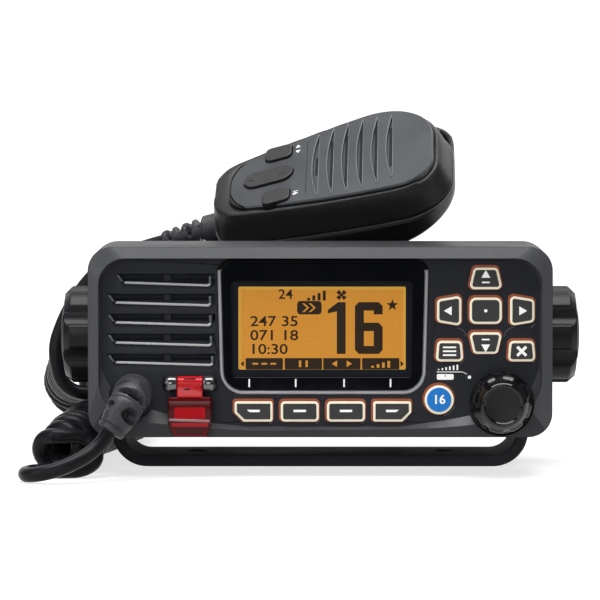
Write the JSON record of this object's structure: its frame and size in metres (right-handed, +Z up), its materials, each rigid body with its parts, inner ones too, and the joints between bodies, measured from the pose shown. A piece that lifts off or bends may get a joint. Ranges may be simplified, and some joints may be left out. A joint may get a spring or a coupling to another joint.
{
  "type": "vhf marine radio",
  "caption": "Fixed-mount marine radio on a tilting U bracket, with a loudspeaker grille, lit display, keys, a volume knob, a flip-covered distress key and a corded fist microphone.",
  "frame": {"origin": "centre of the underside of the mounting bracket's base, on the surface it stands on", "axes": "+X to the right of someone facing the display, +Y toward the rear connections, +Z up; the display faces -Y"},
  "size_m": [0.1967, 0.1901, 0.125],
  "materials": {
    "bracket_paint": "satin powder coat",
    "knob_plastic": "semi-gloss",
    "steel": "satin",
    "brass": "plain",
    "bezel_plastic": "fine grain",
    "chassis_paint": "powder coat",
    "plated_metal": "nickel plate",
    "trim_silver": "metallic paint",
    "window_glass": "gloss",
    "lcd_amber": "backlit",
    "inner_plastic": "matte",
    "circuit_board": "solder mask",
    "key_rubber": "satin",
    "key_blue": "satin",
    "distress_red": "gloss",
    "cover_red": "clear red",
    "soft_rubber": "matte",
    "cord_rubber": "semi-gloss",
    "mic_face": "fine grain",
    "mic_body": "soft touch"
  },
  "bodies": {
    "bracket": {"mounting_bracket": "bracket_paint", "curly_cord": "cord_rubber"},
    "radio": {"accessory_gland": "inner_plastic", "antenna_jack": "plated_metal", "chassis": "chassis_paint", "chassis_screws": "steel", "cord_boot": "soft_rubber", "cord_front_lead": "cord_rubber", "cord_mic_lead": "cord_rubber", "display_trim": "trim_silver", "display_window": "window_glass", "distress_hinge_pin": "steel", "encoder_body": "inner_plastic", "friction_washers": "soft_rubber", "front_board": "circuit_board", "front_gasket": "soft_rubber", "front_panel": "bezel_plastic", "keypad_mat": "soft_rubber", "lcd_frame": "inner_plastic", "lcd_panel": "lcd_amber", "main_board": "circuit_board", "power_inlet": "inner_plastic", "shield_cans": "steel", "side_inserts": "brass", "speaker_cone": "inner_plastic", "speaker_frame": "steel", "speaker_membrane": "inner_plastic"},
    "knob_left": {"bracket_knob_left": "knob_plastic", "knob_bolt_left": "steel"},
    "knob_right": {"bracket_knob_right": "knob_plastic", "knob_bolt_right": "steel"},
    "rotor": {"encoder_rotor": "brass"},
    "volume": {"volume_knob": "knob_plastic", "volume_shaft": "steel"},
    "distress_flap": {"distress_cover": "cover_red"},
    "distress_button": {"distress_key": "distress_red"},
    "mic": {"mic_front_case": "mic_body", "mic_rear_case": "mic_body", "mic_seam_band": "soft_rubber", "mic_face_panel": "mic_face", "mic_board": "circuit_board", "mic_capsule": "inner_plastic", "mic_hanger_stud": "steel", "mic_boot": "soft_rubber"},
    "mic_hilo": {"mic_hilo_key": "key_rubber"},
    "mic_sixteen": {"mic_sixteen_key": "key_rubber"},
    "mic_rocker": {"mic_rocker_key": "key_rubber"},
    "mic_ptt": {"mic_ptt_button": "key_rubber"},
    "push_up": {"key_up": "key_rubber"},
    "push_down": {"key_down": "key_rubber"},
    "push_left": {"key_left": "key_rubber"},
    "push_right": {"key_right": "key_rubber"},
    "push_enter": {"key_enter": "key_rubber"},
    "push_menu": {"key_menu": "key_rubber"},
    "push_clear": {"key_clear": "key_rubber"},
    "push_sixteen": {"key_sixteen": "key_blue"},
    "push_soft_1": {"soft_key_1": "key_rubber"},
    "push_soft_2": {"soft_key_2": "key_rubber"},
    "push_soft_3": {"soft_key_3": "key_rubber"},
    "push_soft_4": {"soft_key_4": "key_rubber"}
  },
  "joints": [
    {"name": "radio_tilt", "type": "hinge", "parent": "bracket", "child": "radio", "pos_m": [0, 0, 0.0452], "axis": [-1, 0, 0], "range_deg": [-8, 15], "deforming": ["cord_front_lead", "cord_mic_lead"]},
    {"name": "knob_left_turn", "type": "hinge", "parent": "radio", "child": "knob_left", "pos_m": [-0.0722, 0, 0.0452], "axis": [-1, 0, 0], "continuous": true},
    {"name": "knob_right_turn", "type": "hinge", "parent": "radio", "child": "knob_right", "pos_m": [0.0722, 0, 0.0452], "axis": [1, 0, 0], "continuous": true},
    {"name": "volume_turn", "type": "hinge", "parent": "radio", "child": "rotor", "pos_m": [0.06035, -0.046, 0.025], "axis": [0, -1, 0], "continuous": true},
    {"name": "volume_press", "type": "slide", "parent": "rotor", "child": "volume", "axis": [0, 1, 0], "range_m": [0, 0.0006], "stiffness_N_per_m": 900},
    {"name": "press_up", "type": "slide", "parent": "radio", "child": "push_up", "axis": [0, 1, 0], "range_m": [0, 0.0006], "stiffness_N_per_m": 800},
    {"name": "press_down", "type": "slide", "parent": "radio", "child": "push_down", "axis": [0, 1, 0], "range_m": [0, 0.0006], "stiffness_N_per_m": 800},
    {"name": "press_left", "type": "slide", "parent": "radio", "child": "push_left", "axis": [0, 1, 0], "range_m": [0, 0.0006], "stiffness_N_per_m": 800},
    {"name": "press_right", "type": "slide", "parent": "radio", "child": "push_right", "axis": [0, 1, 0], "range_m": [0, 0.0006], "stiffness_N_per_m": 800},
    {"name": "press_enter", "type": "slide", "parent": "radio", "child": "push_enter", "axis": [0, 1, 0], "range_m": [0, 0.0006], "stiffness_N_per_m": 800},
    {"name": "press_menu", "type": "slide", "parent": "radio", "child": "push_menu", "axis": [0, 1, 0], "range_m": [0, 0.0006], "stiffness_N_per_m": 800},
    {"name": "press_clear", "type": "slide", "parent": "radio", "child": "push_clear", "axis": [0, 1, 0], "range_m": [0, 0.0006], "stiffness_N_per_m": 800},
    {"name": "press_sixteen", "type": "slide", "parent": "radio", "child": "push_sixteen", "axis": [0, 1, 0], "range_m": [0, 0.0006], "stiffness_N_per_m": 800},
    {"name": "press_soft_1", "type": "slide", "parent": "radio", "child": "push_soft_1", "axis": [0, 1, 0], "range_m": [0, 0.0006], "stiffness_N_per_m": 800},
    {"name": "press_soft_2", "type": "slide", "parent": "radio", "child": "push_soft_2", "axis": [0, 1, 0], "range_m": [0, 0.0006], "stiffness_N_per_m": 800},
    {"name": "press_soft_3", "type": "slide", "parent": "radio", "child": "push_soft_3", "axis": [0, 1, 0], "range_m": [0, 0.0006], "stiffness_N_per_m": 800},
    {"name": "press_soft_4", "type": "slide", "parent": "radio", "child": "push_soft_4", "axis": [0, 1, 0], "range_m": [0, 0.0006], "stiffness_N_per_m": 800},
    {"name": "distress_flap_lift", "type": "hinge", "parent": "radio", "child": "distress_flap", "pos_m": [-0.0434, -0.0503, 0.0313], "axis": [-1, 0, 0], "range_deg": [0, 105], "stiffness_Nm_per_rad": 0.003, "springref_deg": -20.05},
    {"name": "press_distress", "type": "slide", "parent": "radio", "child": "distress_button", "axis": [0, 1, 0], "range_m": [0, 0.0006], "stiffness_N_per_m": 800},
    {"name": "mic_lift", "type": "slide", "parent": "radio", "child": "mic", "axis": [0, 0, 1], "range_m": [0, 0.06], "deforming": ["cord_mic_lead"]},
    {"name": "mic_hilo_press", "type": "slide", "parent": "mic", "child": "mic_hilo", "axis": [0.3177, 0.5334, -0.784], "range_m": [0, 0.0006], "stiffness_N_per_m": 800},
    {"name": "mic_sixteen_press", "type": "slide", "parent": "mic", "child": "mic_sixteen", "axis": [0.3177, 0.5334, -0.784], "range_m": [0, 0.0006], "stiffness_N_per_m": 800},
    {"name": "mic_rocker_tip", "type": "hinge", "parent": "mic", "child": "mic_rocker", "pos_m": [-0.0177, 0.01518, 0.09869], "axis": [0.0262, 0.8215, 0.5696], "range_deg": [-2.5, 2.5], "stiffness_Nm_per_rad": 0.08},
    {"name": "mic_ptt_press", "type": "slide", "parent": "mic", "child": "mic_ptt", "axis": [-0.4966, -0.6107, -0.6168], "range_m": [0, 0.0012], "stiffness_N_per_m": 800}
  ]
}
